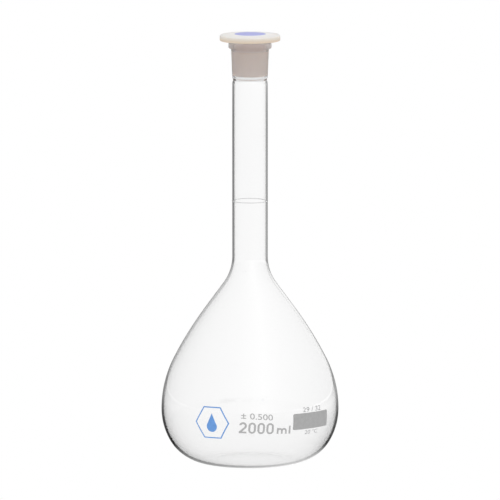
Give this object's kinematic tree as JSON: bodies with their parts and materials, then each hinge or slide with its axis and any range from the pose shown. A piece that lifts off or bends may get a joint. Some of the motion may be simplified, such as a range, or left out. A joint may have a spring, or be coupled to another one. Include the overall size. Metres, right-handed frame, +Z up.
{
  "type": "volumetric flask",
  "caption": "Pear-shaped glass volumetric flask with a long neck, a graduation ring, a ground socket and a hollow plastic stopper with a blue disc.",
  "frame": {"origin": "centre of the foot, on the surface the flask stands on", "axes": "+Z up the axis of the flask; the front, with the capacity print, faces -Y; the writing patch is on the +X side of the front"},
  "size_m": [0.1584, 0.1586, 0.3857],
  "materials": {
    "glass": "polished, ground inside the socket",
    "line_enamel": "fired enamel",
    "patch_enamel": "matt fired enamel",
    "blue_enamel": "fired enamel",
    "polyethylene": "translucent, waxy",
    "blue_plastic": "satin"
  },
  "bodies": {
    "flask": {"bulb": "glass", "neck_tube": "glass", "ground_socket": "glass", "graduation_ring": "line_enamel", "capacity_print": "patch_enamel", "writing_patch": "patch_enamel", "emblem": "blue_enamel"},
    "insert_disc": {"stopper_insert": "blue_plastic"},
    "stopper": {"stopper_shell": "polyethylene"}
  },
  "joints": [
    {"name": "stopper_lift", "type": "slide", "parent": "flask", "child": "insert_disc", "axis": [0, 0, 1], "range_m": [0, 0.12]},
    {"name": "stopper_twist", "type": "hinge", "parent": "insert_disc", "child": "stopper", "pos_m": [0, 0, 0.3785], "axis": [0, 0, 1], "continuous": true}
  ]
}
